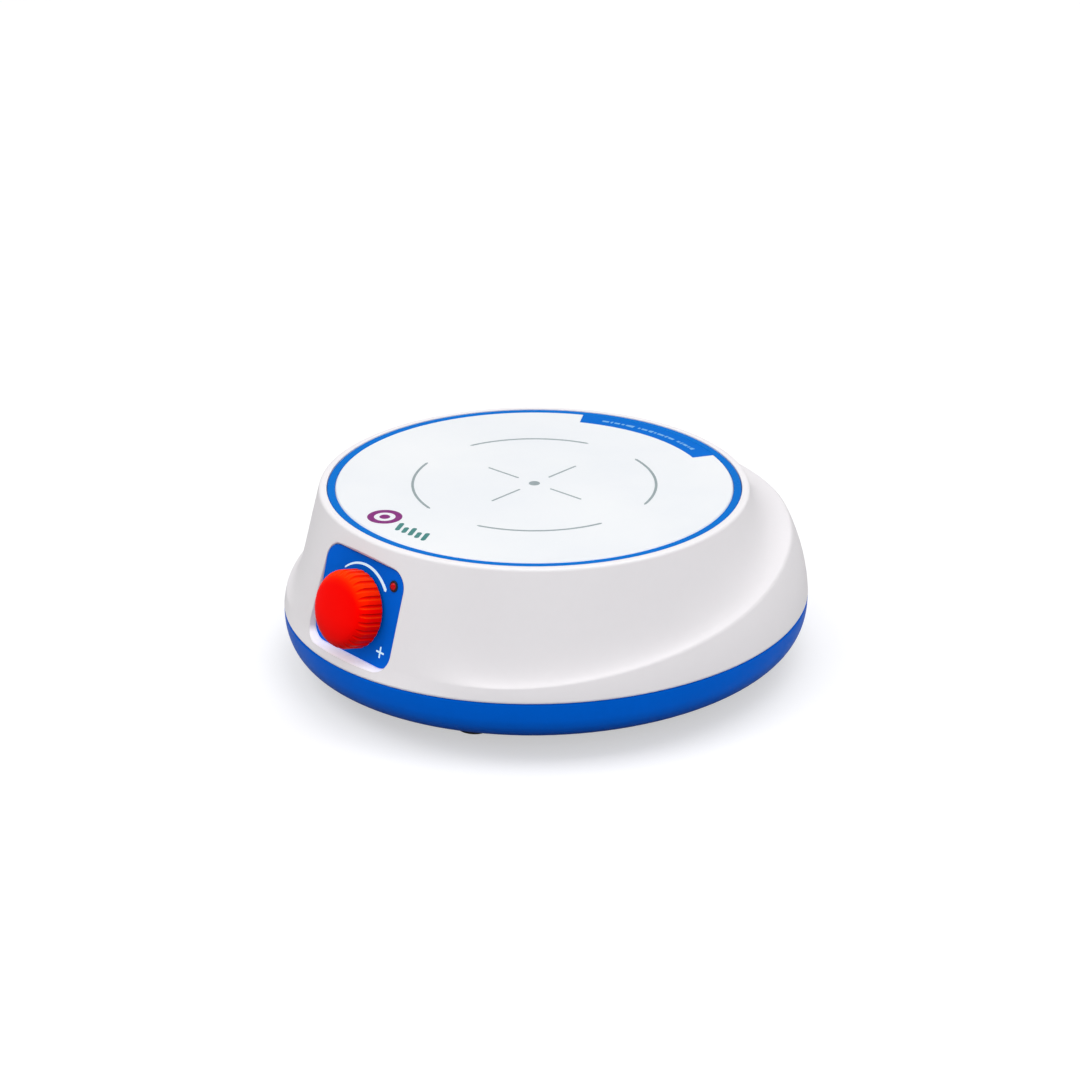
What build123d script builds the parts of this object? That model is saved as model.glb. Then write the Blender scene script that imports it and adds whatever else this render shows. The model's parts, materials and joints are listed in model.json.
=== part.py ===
from build123d import *
import os
from math import copysign, cos, radians, sin, sqrt, tan

# Mini magnetic stirrer. Millimetres, +Z up, front (speed knob side) toward -Y.
# Origin: where the axis of the round stirring plate meets the table, so the
# rubber feet stand on z = 0 and the plate top is at z = PLATE_TOP.
# Azimuths are in degrees from the front, turning toward +X.

os.makedirs("parts", exist_ok=True)

# ---------------------------------------------------------------- dimensions
# housing planform: an ellipse whose centre sits behind the plate axis
SEAM_AX = 77.5             # half width at the seam
SEAM_AY = 82.5             # half depth at the seam
SEAM_Y0 = 5.3              # ellipse centre
SEAM_Z = 19.6              # height of the seam between the two shells
SEAM_GAP = 0.2             # shadow gap
LIP_R, LIP_Z = 65.2, 56.3  # rounded lip around the plate
RIM_R = 62.75              # radius of the recess that holds the plate
WALL = 2.5
# crease between the scooped side and the skirt: (azimuth, z)
CREASE = [
    (0, 25.5), (25, 24.7), (35, 24.1), (45, 24.2), (55, 25.3), (65, 26.8),
    (75, 28.4), (85, 30.2), (95, 32.1), (105, 34.4), (115, 37.0), (125, 40.3),
    (135, 43.2), (145, 45.0), (155, 46.0), (165, 46.6), (180, 47.0),
]
# offsets and weights of the average that rounds the crease: (degrees, weight)
CREASE_BLUR = [(-12, 1), (-8, 2), (-4, 3), (0, 4), (4, 3), (8, 2), (12, 1)]
# base shell
BASE_Z = 5.3
FLOOR = 2.5
FLOOR_TOP = BASE_Z + FLOOR
# deck and plate
DECK_Z0, DECK_Z1 = 50.5, 52.7
DECK_BORE_R = 35.0
PAD_Z = 53.0               # underside of the plate
PLATE_R, PLATE_TOP = 60.1, 57.0
TRIM_R0, TRIM_R1 = 60.2, 62.6
LABEL_R0, LABEL_A0, LABEL_A1 = 53.2, 161.8, 212.8  # inner radius, end azimuths
LABEL_Z = PLATE_TOP - 0.3
# control panel, tilted back
TILT = radians(14.0)
KNOB_Z = 36.05             # height where the knob axis meets the panel face
PANEL_REF_R, PANEL_REF_Z = 68.31, 37.0  # a point of the panel face plane
PANEL_W, PANEL_H, PANEL_CORNER, PANEL_T = 35.2, 29.6, 5.2, 1.0
PANEL_V = 0.75             # panel centre above the knob axis
POCKET_GAP = 0.5           # pocket size over panel size
POCKET_TOP, POCKET_SIDE, POCKET_LOW = 33.0, 28.0, 10.0  # wall slopes, degrees
FLARE = 7.0                # depth of the sloping walls
SPINDLE_HOLE_R = 3.6
LED_U, LED_V, LED_HOLE_R = 13.4, 11.0, 1.7
# speed knob, distances along its axis from the panel face
KNOB_R = 11.65
KNOB_BACK, KNOB_SHOULDER, KNOB_FRONT = 0.6, 5.3, 9.35
KNOB_ROUND = 3.5           # radius of the rounded shoulder
KNOB_FLUTES = 28
FLUTE_R, FLUTE_DEPTH = 0.74, 0.46
FLUTE_BEND = 4.9           # wider than the shoulder, so that the flute fades out
SPINDLE_R = 3.0
SPINDLE_END = KNOB_FRONT - 2.4
FLAT_START = KNOB_BACK + 2.0  # where the D section begins
# fastening of the two shells, feet share the places
SPLIT_Z = 24.0
SCREW_SEAT_Z = SPLIT_Z - 4
FOOT_R, FOOT_H = 5.5, 6.1
# motor and its bracket
BRACKET_Z, BRACKET_T = 34.0, 1.5
BRACKET_TOP = BRACKET_Z + BRACKET_T
GROMMET_LIP = 1.5
CAN_R, CAN_Z0 = 16.0, 14.0
CAN_BORE_R = CAN_R - 1.2
SHAFT_R, SHAFT_TOP = 1.0, 48.0
MOTOR_SCREW_X = 10.0
TAG_X = 8.0                # motor terminals
CORE_Z0, CORE_Z1 = 19.6, 28.4
# magnet carrier
CARRIER_Z0, CARRIER_Z1 = 43.0, 51.0
MAGNET_X, MAGNET_R, MAGNET_H = 18.0, 7.5, 6.5
# power socket in the rear wall
JACK_Z, JACK_Y = 30.0, 84.2
JACK_INNER_Y = JACK_Y - 2.6
JACK_PIN_L = 15.0
# control board
PCB_X, PCB_Y0, PCB_Y1, PCB_Z = 20.5, 30.0, 66.0, 12.0
PCB_TOP = PCB_Z + 1.6
PLUG_TOP = PCB_TOP + 6.0
PIN_PITCH = 2.5
# plug: (x, y, number of pins)
PLUGS = {
    "motor": (-12.0, 34.5, 2),
    "pot": (1.0, 34.5, 3),
    "led": (11.5, 34.5, 2),
    "dc": (-15.0, 50.0, 2),
}
WIRE_R = 0.55
WIRE_GAP = 0.02            # between a terminal's end and its wire

SIDES = (-1, 1)
STANDING = (Align.CENTER, Align.CENTER, Align.MIN)


def corners(x, y):
    return [(side_x * x, side_y * y) for side_x in SIDES for side_y in SIDES]


BOSSES = corners(26.5, 46.8)
POSTS = corners(20.0, 20.0)
PCB_HOLES = [(side * 18.0, y) for side in SIDES for y in (34.0, 62.0)]


# ------------------------------------------------------------------- helpers
def save(name, *shapes):
    """Write every separate solid of the shapes as one STEP file."""
    solids = [solid for shape in shapes for solid in shape.solids()]
    shape = solids[0] if len(solids) == 1 else Compound(children=solids)
    export_step(shape, f"parts/{name}.step")


def cyl(x, y, z0, z1, radius):
    return Pos(x, y, z0) * Cylinder(radius, z1 - z0, align=STANDING)


def tube(z0, z1, outer, inner):
    return cyl(0, 0, z0, z1, outer) - cyl(0, 0, z0 - 1, z1 + 1, inner)


def box(x0, x1, y0, y1, z0, z1):
    """Box between two corners; x and y may be given in either order."""
    centre = Pos((x0 + x1) / 2, (y0 + y1) / 2, (z0 + z1) / 2)
    return centre * Box(abs(x1 - x0), abs(y1 - y0), z1 - z0)


def slab(sketch, z0, z1, x=0, y=0):
    """Flat sketch extruded upward from z0 to z1."""
    return extrude(Plane(origin=(x, y, z0)) * sketch, amount=z1 - z0)


def turned(points):
    """Solid of revolution about Z from (radius, z) points."""
    return revolve(Plane.XZ * make_face(Polyline(*points, close=True)), Axis.Z)


def polar(radius, azimuth):
    return (radius * sin(radians(azimuth)), -radius * cos(radians(azimuth)))


def sector(r0, r1, a0, a1, z0, z1, slant=0.0):
    """Ring sector between two azimuths, its outer arc longer by slant at each end."""
    middle = (a0 + a1) / 2
    outer0, outer1 = polar(r1, a0 - slant), polar(r1, a1 + slant)
    inner0, inner1 = polar(r0, a0), polar(r0, a1)
    outline = Curve() + [
        ThreePointArc(outer0, polar(r1, middle), outer1),
        Line(outer1, inner1),
        ThreePointArc(inner1, polar(r0, middle), inner0),
        Line(inner0, outer0),
    ]
    return slab(make_face(outline), z0, z1)


def pan_screw(x, y, z, shank, radius=1.5, head_r=2.8, head_h=2.0, up=True):
    """Pan head cross recess screw; z is the seat of the head, shank points away."""
    screw = turned([
        (0, 0), (head_r, 0), (head_r, head_h * 0.45), (head_r * 0.82, head_h * 0.85),
        (head_r * 0.5, head_h), (0, head_h),
    ])
    screw += cyl(0, 0, -shank, 0.2, radius)
    reach, half_slot = head_r * 0.55, 0.35
    screw -= box(-reach, reach, -half_slot, half_slot, head_h - 1.1, head_h + 1)
    screw -= box(-half_slot, half_slot, -reach, reach, head_h - 1.1, head_h + 1)
    tip = screw.edges().filter_by(GeomType.CIRCLE).sort_by(Axis.Z)[:1]
    screw = chamfer(tip, radius * 0.3)
    return Pos(x, y, z) * (screw if up else Rot(180, 0, 0) * screw)


def mix(start, end, share):
    return start * (1 - share) + end * share


def mix_points(start, end, share):
    return (mix(start[0], end[0], share), mix(start[1], end[1], share))


def smooth(value, low, high):
    """Smooth step from 0 at low to 1 at high."""
    share = min(max((value - low) / (high - low), 0.0), 1.0)
    return share * share * (3 - 2 * share)


def fold(azimuth):
    """Mirror an azimuth onto 0 to 180 degrees."""
    azimuth = abs(azimuth)
    return min(azimuth, 360 - azimuth)


def split_curve(points, share):
    """De Casteljau: control points of the first and second part of a Bezier."""
    first, last = [points[0]], [points[-1]]
    while len(points) > 1:
        points = [mix_points(start, end, share) for start, end in zip(points[:-1], points[1:])]
        first.append(points[0])
        last.append(points[-1])
    return first, last[::-1]


# ---------------------------------------------------------- housing sections
def crease_point(azimuth):
    """Height of the crease, straight between the table's points."""
    azimuth = fold(azimuth)
    for (a0, z0), (a1, z1) in zip(CREASE[:-1], CREASE[1:]):
        if azimuth <= a1:
            return mix(z0, z1, (azimuth - a0) / (a1 - a0))


def crease_height(azimuth):
    """Height of the crease, rounded off between the table's points."""
    total = sum(weight * crease_point(azimuth + offset) for offset, weight in CREASE_BLUR)
    return total / sum(weight for _, weight in CREASE_BLUR)


def seam_radius(azimuth):
    """Distance from the plate axis to the seam ellipse, by the quadratic formula."""
    along_x, along_y = polar(1, azimuth)
    square = (along_x / SEAM_AX) ** 2 + (along_y / SEAM_AY) ** 2
    linear = -2 * along_y * SEAM_Y0 / SEAM_AY ** 2
    constant = (SEAM_Y0 / SEAM_AY) ** 2 - 1
    return (-linear + sqrt(linear * linear - 4 * square * constant)) / (2 * square)


def cone_slope(seam_r):
    """Radius gained per mm of drop on a straight wall from lip to seam."""
    return (seam_r - LIP_R) / (LIP_Z - SEAM_Z)


def housing_section(azimuth):
    """Closed radial section of the upper shell's wall at one azimuth."""
    turn = fold(azimuth)
    seam_r, crease_z = seam_radius(turn), crease_height(turn)
    skirt_h, drop = crease_z - SEAM_Z, LIP_Z - crease_z
    cone = cone_slope(seam_r)
    side = smooth(turn, 20, 38)   # 0 plain cone in front, 1 scooped side
    rear = smooth(turn, 90, 170)
    scoop_r = seam_r - 0.15 * skirt_h - 0.0022 * skirt_h ** 2 - 5.0 * smooth(turn, 125, 180)
    crease_r = mix(seam_r - cone * skirt_h, scoop_r, side)
    lip, crease = (LIP_R, LIP_Z), (crease_r, crease_z)

    # outer side: control points between the straight cone and the scoop
    pull = drop * mix(0.72, 0.60, rear)
    reach = mix(4.0, 8.5, rear)
    rise = reach * mix(0.36, 0.22, rear)
    high = mix_points(mix_points(lip, crease, 1 / 3), (LIP_R + 0.25 * pull, LIP_Z - pull), side)
    low = mix_points(mix_points(lip, crease, 2 / 3), (crease_r - reach, crease_z + rise), side)
    upper, _ = split_curve([lip, high, low, crease], 0.93 + 0.035 * side)
    bottom_z = SEAM_Z + SEAM_GAP
    middle_z = SEAM_Z + skirt_h / 2
    middle_r = mix(seam_r - cone * skirt_h / 2, seam_r - 0.03 * skirt_h, side)
    foot = (seam_r, bottom_z + 0.6)
    _, skirt = split_curve([crease, (middle_r, middle_z), foot], 0.12 - 0.065 * side)

    # inner side of the wall
    top_in = (RIM_R - 0.75, DECK_Z0 - 0.7)
    crease_in = (crease_r - WALL, crease_z - 0.2 - 1.6 * side)
    pull_in = 0.55 * (top_in[1] - crease_in[1])
    scoop_high = (top_in[0] + 0.27 * pull_in + 0.9, top_in[1] - pull_in)
    scoop_low = (crease_in[0] - 0.85 * reach, crease_in[1] + 0.85 * rise)
    high_in = mix_points(mix_points(top_in, crease_in, 1 / 3), scoop_high, side)
    low_in = mix_points(mix_points(top_in, crease_in, 2 / 3), scoop_low, side)
    middle_in = (middle_r - WALL - 0.1, middle_z)
    bottom_in = (seam_r - WALL - 0.1, bottom_z)

    def place(point):
        return Vector(*polar(point[0], azimuth), point[1])

    def line(start, end):
        return Edge.make_line(place(start), place(end))

    def bezier(*points):
        return Edge.make_bezier(*[place(point) for point in points])

    rim_in, rim_out = (top_in[0], PLATE_TOP), (64.2, PLATE_TOP)
    bevel = (seam_r - 0.35, bottom_z)
    return Wire([
        line(rim_in, rim_out),
        bezier(rim_out, (65.03, PLATE_TOP), lip),
        bezier(*upper),
        bezier(upper[-1], crease, skirt[0]),
        bezier(*skirt),
        line(foot, bevel),
        line(bevel, bottom_in),
        bezier(bottom_in, middle_in, crease_in),
        bezier(crease_in, low_in, high_in, top_in),
        line(top_in, rim_in),
    ])


# ------------------------------------------------------- control panel frame
# u runs toward +X, v up the panel face, w along its outward normal
OUT = Vector(0, -cos(TILT), sin(TILT))
KNOB_AT = Vector(0, -(PANEL_REF_R - (KNOB_Z - PANEL_REF_Z) * tan(TILT)), KNOB_Z)


def panel(w=0.0):
    """Plane parallel to the panel, w outside its face, centred on the knob axis."""
    return Plane(origin=KNOB_AT + OUT * w, x_dir=(1, 0, 0), z_dir=OUT)


def panel_point(u, v, w):
    foot = KNOB_AT + OUT * w
    return (foot.X + u, foot.Y + v * sin(TILT), foot.Z + v * cos(TILT))


def panel_cyl(u, v, w0, w1, radius):
    return panel(w0) * Pos(u, v, 0) * Cylinder(radius, w1 - w0, align=STANDING)


def panel_turned(points):
    """Solid of revolution about the knob axis from (radius, w) points."""
    return panel() * turned(points)


def panel_outline(w, margin, corner, v=PANEL_V):
    """Panel rectangle made larger by margin in all, corners rounder by corner."""
    return panel(w) * Pos(0, v) * RectangleRounded(
        PANEL_W + margin, PANEL_H + margin, PANEL_CORNER + corner)


# -------------------------------------------------------- power socket frame
REARWARD, FORWARD = (0, 1, 0), (0, -1, 0)


def jack_plane(y, direction):
    return Plane(origin=(0, y, JACK_Z), x_dir=(1, 0, 0), z_dir=direction)


def jack_disc(y, direction, radius, length):
    return extrude(jack_plane(y, direction) * Circle(radius), amount=length)


def jack_turned(points):
    """Solid of revolution about the socket axis from (radius, distance inward) points."""
    return jack_plane(JACK_Y, FORWARD) * turned(points)


# --------------------------------------------------------------- top housing
def add_panel_pocket(top):
    """Add the pocket's walls inside the front cone, then cut the pocket and holes."""
    cone, z0, z1 = cone_slope(seam_radius(0)), 19.9, 52.4
    inset = turned([(0, z0), (LIP_R + (LIP_Z - z0) * cone - 1.2, z0),
                    (LIP_R + (LIP_Z - z1) * cone - 1.2, z1), (0, z1)])
    wall = extrude(panel_outline(-PANEL_T - 2.4, 5.0, 2.5), amount=30, dir=(0, -1, 0))
    top += wall & inset
    top -= extrude(panel_outline(-PANEL_T, POCKET_GAP, POCKET_GAP / 2), amount=PANEL_T)
    # above the panel face the pocket's walls slope outward
    side, high, low = (FLARE * tan(radians(a)) for a in (POCKET_SIDE, POCKET_TOP, POCKET_LOW))
    near = panel_outline(0, POCKET_GAP, POCKET_GAP / 2)
    far = panel(FLARE) * Pos(0, PANEL_V + (high - low) / 2) * RectangleRounded(
        PANEL_W + POCKET_GAP + 2 * side, PANEL_H + POCKET_GAP + high + low, PANEL_CORNER + 2.6)
    top -= Solid.make_loft([near.face().outer_wire(), far.face().outer_wire()], ruled=True)
    top -= panel_cyl(0, 0, -6, 3, SPINDLE_HOLE_R)
    top -= panel_cyl(LED_U, LED_V, -6, 3, LED_HOLE_R)
    top -= panel_cyl(LED_U, LED_V, -14, -3.4, 3.0)
    return top


def top_housing():
    # the loft runs past the middle plane at both ends, so that it is cut off square
    half = Solid.make_loft([housing_section(azimuth) for azimuth in range(-20, 201, 10)])
    half = half & box(0, 120, -120, 120, 0, 80)
    top = half + mirror(half, about=Plane.YZ)
    # deck under the plate, with a stiffening rim round its opening
    top += tube(DECK_Z0, DECK_Z1, RIM_R - 0.2, DECK_BORE_R)
    top += tube(DECK_Z0 - 3.0, DECK_Z0 + 0.5, DECK_BORE_R + 1.6, DECK_BORE_R)
    top -= cyl(0, 0, DECK_Z1, PLATE_TOP + 5, RIM_R)
    top = add_panel_pocket(top)
    # ribbed columns for the screws that join the shells
    rib_y, rib_z, rib_half_t = 37, 38, 0.8
    for x, y in BOSSES:
        top += cyl(x, y, SPLIT_Z, DECK_Z0 + 0.5, 4.0)
        top += box(x - rib_half_t, x + rib_half_t, copysign(rib_y, y), y, rib_z, DECK_Z0 + 0.5)
        top -= cyl(x, y, SPLIT_Z - 1, SPLIT_Z + 13, 1.5)
    # flat seat and hole for the power socket
    top += jack_disc(JACK_INNER_Y, REARWARD, 8.2, 3.3)
    top -= jack_disc(JACK_Y, REARWARD, 6.6, 20)
    top -= jack_disc(JACK_Y - 8, REARWARD, 4.05, 20)
    top -= jack_disc(JACK_INNER_Y, FORWARD, 7.2, 5)
    return top


save("top_housing", top_housing())


# ------------------------------------------------------------ bottom housing
def bottom_housing():
    # round shell with a tongue above the seam, stretched to the seam ellipse
    edge, tongue_out, tongue_in = SEAM_AX, SEAM_AX - 3.4, SEAM_AX - 4.9
    shell = revolve(make_face(Plane.XZ * (Curve() + [
        Line((edge - 0.35, SEAM_Z), (edge, SEAM_Z - 0.35)),
        Bezier((edge, SEAM_Z - 0.35), (edge, SEAM_Z - 7.2), (edge - 2.4, BASE_Z + 0.8),
               (edge - 12.0, BASE_Z)),
        Polyline((edge - 12.0, BASE_Z), (0, BASE_Z), (0, FLOOR_TOP), (edge - 14.0, FLOOR_TOP),
                 (edge - 6.4, FLOOR_TOP + 1.6), (tongue_in, FLOOR_TOP + 6.0),
                 (tongue_in, SEAM_Z + 2.0), (tongue_out, SEAM_Z + 2.0), (tongue_out, SEAM_Z),
                 (edge - 0.35, SEAM_Z)),
    ])), Axis.Z)
    base = Pos(0, SEAM_Y0, 0) * scale(shell, by=(1, SEAM_AY / SEAM_AX, 1))
    # room in the tongue for the panel pocket
    base -= box(-22.5, 22.5, -90, -60, SEAM_Z, SEAM_Z + 5)
    root_z, below = BASE_Z + 0.5, BASE_Z - 1
    for (x, y), (post_x, post_y) in zip(BOSSES, POSTS):
        # screw column with its counterbore and the foot's recess
        base += cyl(x, y, root_z, SPLIT_Z, 5.0)
        base -= cyl(x, y, below, SPLIT_Z + 1, 1.7)
        base -= cyl(x, y, below, SCREW_SEAT_Z, 3.3)
        base -= cyl(x, y, below, BASE_Z + 0.8, FOOT_R + 0.1)
        # post for the motor bracket
        base += cyl(post_x, post_y, root_z, BRACKET_Z - GROMMET_LIP, 3.5)
        base += cyl(post_x, post_y, root_z, FLOOR_TOP + 3, 4.6)
        base -= cyl(post_x, post_y, BRACKET_Z - 11.5, BRACKET_Z, 1.5)
    for x, y in PCB_HOLES:
        base += cyl(x, y, root_z, PCB_Z, 3.0)
        base -= cyl(x, y, PCB_Z - 5, PCB_Z + 1, 1.25)
    # ventilation slots under the motor
    for i in range(-3, 4):
        slot = SlotOverall(22 - abs(i) * 1.5, 2.0, rotation=90)
        base -= slab(slot, below, FLOOR_TOP + 1, x=i * 5.0)
    return base


save("bottom_housing", bottom_housing())

# --------------------------------------------------------------------- plate
plate = turned([
    (0, PAD_Z), (PLATE_R - 0.3, PAD_Z), (PLATE_R, PAD_Z + 0.3), (PLATE_R, PLATE_TOP - 0.35),
    (PLATE_R - 0.35, PLATE_TOP), (0, PLATE_TOP),
])
plate -= sector(LABEL_R0 - 0.05, PLATE_R + 3, LABEL_A0 - 0.05, LABEL_A1 + 0.05,
                LABEL_Z, PLATE_TOP + 1, slant=0.9)
save("stirring_plate", plate)
save("plate_label_band", sector(LABEL_R0, PLATE_R - 0.1, LABEL_A0, LABEL_A1,
                                LABEL_Z, PLATE_TOP - 0.02, slant=0.6))
save("plate_adhesive_ring", tube(DECK_Z1, PAD_Z, 58.0, 42.0))
save("plate_trim_ring", turned([
    (TRIM_R0, DECK_Z1), (TRIM_R1, DECK_Z1), (TRIM_R1, PLATE_TOP - 0.4),
    (TRIM_R1 - 0.3, PLATE_TOP - 0.1), (TRIM_R0 + 0.2, PLATE_TOP - 0.1),
    (TRIM_R0, PLATE_TOP - 0.3),
]))

# ------------------------------------------------------------- control panel
face = extrude(panel_outline(-PANEL_T, 0, 0), amount=PANEL_T)
face -= panel_cyl(0, 0, -4, 3, SPINDLE_HOLE_R)
face -= panel_cyl(LED_U, LED_V, -4, 3, LED_HOLE_R)
save("control_panel", face)


def knob_flute():
    """Cutter straight up the knob's side, then bending inward over the shoulder."""
    axis_r = KNOB_R + FLUTE_R - FLUTE_DEPTH

    def bend(degrees):
        angle = radians(degrees)
        return (axis_r - FLUTE_BEND * (1 - cos(angle)), 0,
                KNOB_SHOULDER + FLUTE_BEND * sin(angle))

    start = (axis_r, 0, KNOB_BACK - 1.0)
    path = Curve() + [
        Line(start, (axis_r, 0, KNOB_SHOULDER)),
        ThreePointArc(bend(0), bend(32), bend(64)),
    ]
    return sweep(Plane(origin=start, z_dir=(0, 0, 1)) * Circle(FLUTE_R), path)


def speed_knob():
    """Fluted side, rounded shoulder, domed front, hollow behind, hub with D bore."""
    def shoulder(degrees):
        angle = radians(degrees)
        return (KNOB_R - KNOB_ROUND + KNOB_ROUND * cos(angle),
                KNOB_SHOULDER + KNOB_ROUND * sin(angle))

    end, hub_z = shoulder(74), KNOB_BACK + 2.6
    knob = revolve(make_face(Plane.XZ * (Curve() + [
        Polyline((0, hub_z), (5.5, hub_z), (5.5, KNOB_SHOULDER + 1.2),
                 (8.0, KNOB_SHOULDER + 0.8), (9.8, KNOB_BACK), (KNOB_R - 0.35, KNOB_BACK),
                 (KNOB_R, KNOB_BACK + 0.35), (KNOB_R, KNOB_SHOULDER)),
        ThreePointArc((KNOB_R, KNOB_SHOULDER), shoulder(37), end),
        Bezier(end, (end[0] - 1.9, end[1] + 0.545), (3.2, KNOB_FRONT), (0, KNOB_FRONT)),
        Line((0, KNOB_FRONT), (0, hub_z)),
    ])), Axis.Z)
    flute = knob_flute()
    for i in range(KNOB_FLUTES):
        knob -= Rot(0, 0, 360 / KNOB_FLUTES * (i + 0.5) + 1.3) * flute
    knob = panel() * knob
    d_section = Circle(SPINDLE_R) - Pos(0, 3.5) * Rectangle(8, 4)
    knob -= extrude(panel(FLAT_START) * d_section, amount=SPINDLE_END - FLAT_START)
    return knob


save("speed_knob", speed_knob())

# ------------------------------------------------------------- potentiometer
LUG_W = -5.6                # depth of the terminals behind the panel face
LUG_US = (-5.0, 0.0, 5.0)
LUG_L, LUG_END_V = 7.4, -13.0

body = panel_turned([
    (0, -11.6), (7.9, -11.6), (8.2, -11.3), (8.2, -3.4), (7.0, -3.4), (7.0, -4.4),
    (6.6, -4.4), (6.6, -10.4), (0, -10.4),
])
body -= panel(LUG_W) * Pos(0, -7.5, 0) * Box(13, 4, 0.62)
save("potentiometer_body", body)
save("potentiometer_bushing", panel_turned([
    (3.05, -4.4), (6.98, -4.4), (6.98, -3.4), (3.5, -3.4), (3.5, 2.8), (3.3, 3.0), (3.05, 3.0),
]))
save("potentiometer_washer", panel_turned([(3.55, 0.0), (5.6, 0.0), (5.6, 0.5), (3.55, 0.5)]))
nut = extrude(panel(0.5) * RegularPolygon(4.9, 6, major_radius=False), amount=1.9)
nut = nut & panel_turned([(0, 0.5), (5.2, 0.5), (5.6, 0.8), (5.6, 2.1), (5.2, 2.4), (0, 2.4)])
save("potentiometer_nut", nut - panel_cyl(0, 0, -1, 4, 3.5))
spindle = panel_turned([
    (0, -9.6), (1.5, -9.6), (1.5, -8.2), (5.6, -8.2), (5.6, -7.0), (SPINDLE_R, -7.0),
    (SPINDLE_R, SPINDLE_END - 0.2), (2.6, SPINDLE_END), (0, SPINDLE_END),
])
spindle -= panel(FLAT_START) * Pos(0, 3.5, 4) * Box(8, 4, 8)
save("potentiometer_shaft", spindle)
save("potentiometer_terminals", *[
    panel(LUG_W) * Pos(u, LUG_END_V + LUG_L / 2, 0) * Box(2.0, LUG_L, 0.6)
    - panel_cyl(u, LUG_END_V + 1.0, -7, -4, 0.5) for u in LUG_US])

# ------------------------------------------------------------ indicator lamp
LAMP = panel() * Pos(LED_U, LED_V, 0)
LENS_BACK, LEAD_END, LEAD_U = -7.6, -13.0, 0.9

save("led_bezel", LAMP * turned([
    (1.1, -4.2), (2.6, -4.2), (2.6, -3.4), (1.66, -3.4), (1.66, 0.25), (1.5, 0.4),
    (1.2, 0.4), (1.1, 0.3),
]))
lens = revolve(Plane.XZ * make_face(Curve() + [
    Polyline((1.08, 0.25), (1.08, -4.2), (1.9, -4.2), (1.9, -5.2), (1.5, -5.2),
             (1.5, LENS_BACK), (0, LENS_BACK), (0, 0.85)),
    Bezier((0, 0.85), (0.65, 0.85), (1.08, 0.6), (1.08, 0.25)),
]), Axis.Z)
save("led_lens", LAMP * lens)
save("led_leads", *[
    LAMP * Pos(side * LEAD_U, 0, LEAD_END) * Box(0.5, 0.5, LENS_BACK - LEAD_END, align=STANDING)
    for side in SIDES])

# ------------------------------------------------------------- feet, screws
rubber_foot = turned([(0, 0), (FOOT_R - 0.9, 0), (FOOT_R - 0.25, 0.35), (FOOT_R, 1.0),
                      (FOOT_R, FOOT_H), (0, FOOT_H)])
rubber_foot -= turned([(0, -1), (2.2, -1), (2.2, 0.6), (0, 0.6)])
save("rubber_feet", *[Pos(x, y, 0) * rubber_foot for x, y in BOSSES])
save("housing_screws", *[pan_screw(x, y, SCREW_SEAT_Z, 16, up=False) for x, y in BOSSES])


# ------------------------------------------------------------ motor bracket
def motor_bracket():
    z0, z1, slot_at = 30, 40, 20.5
    bracket = slab(RectangleRounded(52, 52, 5), BRACKET_Z, BRACKET_TOP)
    bracket -= cyl(0, 0, z0, z1, 4.05)
    for side in SIDES:
        bracket -= slab(SlotOverall(18, 7, rotation=90), z0, z1, x=side * slot_at)
        bracket -= slab(SlotOverall(18, 7), z0, z1, y=side * slot_at)
        bracket -= cyl(side * MOTOR_SCREW_X, 0, z0, z1, 1.35)
    for x, y in POSTS:
        bracket -= cyl(x, y, z0, z1, 3.0)
    return bracket


save("motor_bracket", motor_bracket())
GROMMET_TOP = BRACKET_TOP + GROMMET_LIP
grommet = turned([
    (1.75, BRACKET_Z - GROMMET_LIP), (4.4, BRACKET_Z - GROMMET_LIP), (4.4, BRACKET_Z),
    (3.0, BRACKET_Z), (3.0, BRACKET_TOP), (4.4, BRACKET_TOP), (4.2, GROMMET_TOP),
    (1.75, GROMMET_TOP),
])
save("bracket_grommets", *[Pos(x, y, 0) * grommet for x, y in POSTS])
save("bracket_screws", *[pan_screw(x, y, GROMMET_TOP, 12, head_r=3.4) for x, y in POSTS])

# --------------------------------------------------------------------- motor
can = turned([
    (4.0, BRACKET_Z), (4.0, BRACKET_Z + 1.9), (3.0, BRACKET_Z + 1.9), (3.0, BRACKET_Z - 1.2),
    (CAN_BORE_R, BRACKET_Z - 1.2), (CAN_BORE_R, CAN_Z0), (CAN_R, CAN_Z0),
    (CAN_R, BRACKET_Z - 0.8), (CAN_R - 0.8, BRACKET_Z),
])
for side in SIDES:
    can -= cyl(side * MOTOR_SCREW_X, 0, 30, 40, 1.0)
save("motor_can", can)


def tag(side, z0, z1):
    """Flat upright terminal at one side of the motor."""
    return box(side * TAG_X - 1.3, side * TAG_X + 1.3, 7.7, 8.3, z0, z1)


end_cap = turned([
    (3.0, 11.0), (4.6, 11.0), (4.6, 12.5), (CAN_R - 0.4, 12.5), (CAN_R - 0.4, CAN_Z0),
    (CAN_R - 1.25, CAN_Z0), (CAN_R - 1.25, 15.6), (CAN_R - 2.4, 15.6), (CAN_R - 2.4, 14.2),
    (3.0, 14.2),
])
for side in SIDES:
    end_cap -= tag(side, 10, 16)
save("motor_end_cap", end_cap)
save("motor_terminals", *[
    tag(side, 9.4, 15.6) - Pos(side * TAG_X, 8, 10.4) * Rot(90, 0, 0) * Cylinder(0.5, 4)
    for side in SIDES])
save("motor_field_magnets", *[sector(11.6, CAN_BORE_R, a0, a0 + 140, 17.0, 31.0)
                              for a0 in (20, 200)])

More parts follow.
